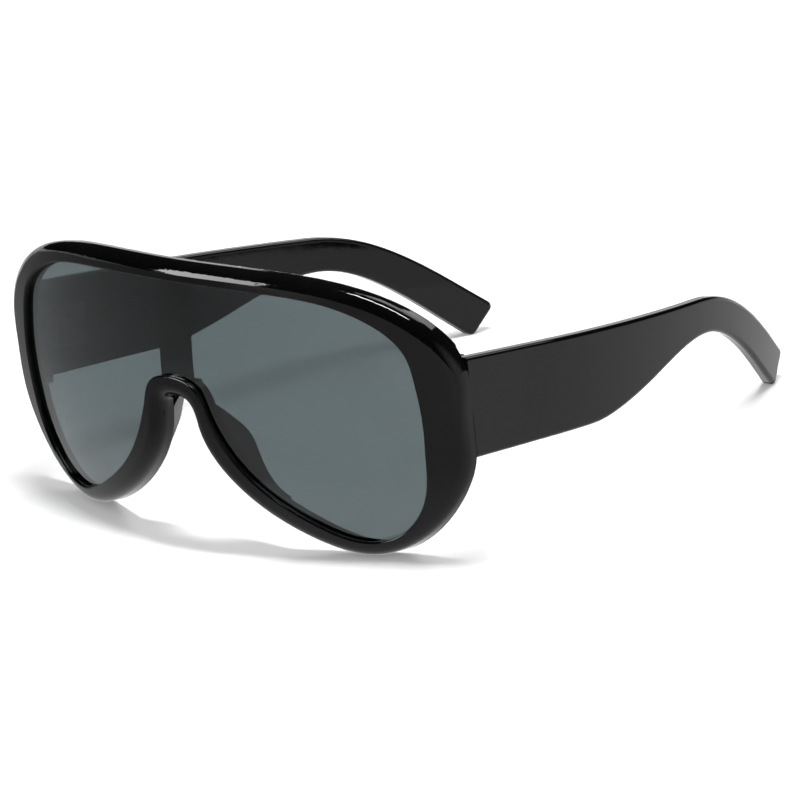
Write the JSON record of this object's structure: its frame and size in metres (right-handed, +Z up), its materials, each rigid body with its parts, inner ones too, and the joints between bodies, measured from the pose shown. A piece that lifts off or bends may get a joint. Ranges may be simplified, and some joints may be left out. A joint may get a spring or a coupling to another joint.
{
  "type": "shield sunglasses",
  "caption": "Oversized shield sunglasses with one smoke lens in a rounded glossy black rim, a nose arch with moulded pads and broad folding temples.",
  "frame": {"origin": "middle of the footprint, on the surface that the sunglasses stand on, resting on the rim's two cheeks and the two ear tips", "axes": "+X to the wearer's left, +Y back towards the ear tips, +Z up"},
  "size_m": [0.1408, 0.145, 0.0642],
  "materials": {
    "black_plastic": "moulded, polished glossy black",
    "smoke_lens": "smooth see-through grey tint, slightly green",
    "hinge_metal": "stamped and black plated",
    "screw_metal": "turned and black plated"
  },
  "bodies": {
    "front": {"front_frame": "black_plastic", "shield_lens": "smoke_lens", "nose_bridge": "black_plastic", "hinge_front_leaf_left": "hinge_metal", "front_leaf_screws_left": "screw_metal", "hinge_screw_left": "hinge_metal", "hinge_front_leaf_right": "hinge_metal", "front_leaf_screws_right": "screw_metal", "hinge_screw_right": "hinge_metal"},
    "arm_left": {"temple_left": "black_plastic", "hinge_temple_leaf_left": "hinge_metal", "temple_leaf_screws_left": "screw_metal"},
    "arm_right": {"temple_right": "black_plastic", "hinge_temple_leaf_right": "hinge_metal", "temple_leaf_screws_right": "screw_metal"}
  },
  "joints": [
    {"name": "fold_left", "type": "hinge", "parent": "front", "child": "arm_left", "pos_m": [0.0647, -0.04735, 0.03394], "axis": [0, 0.1549, 0.9879], "range_deg": [0, 82]},
    {"name": "fold_right", "type": "hinge", "parent": "front", "child": "arm_right", "pos_m": [-0.0647, -0.04735, 0.03394], "axis": [0, -0.1549, -0.9879], "range_deg": [0, 72]}
  ]
}
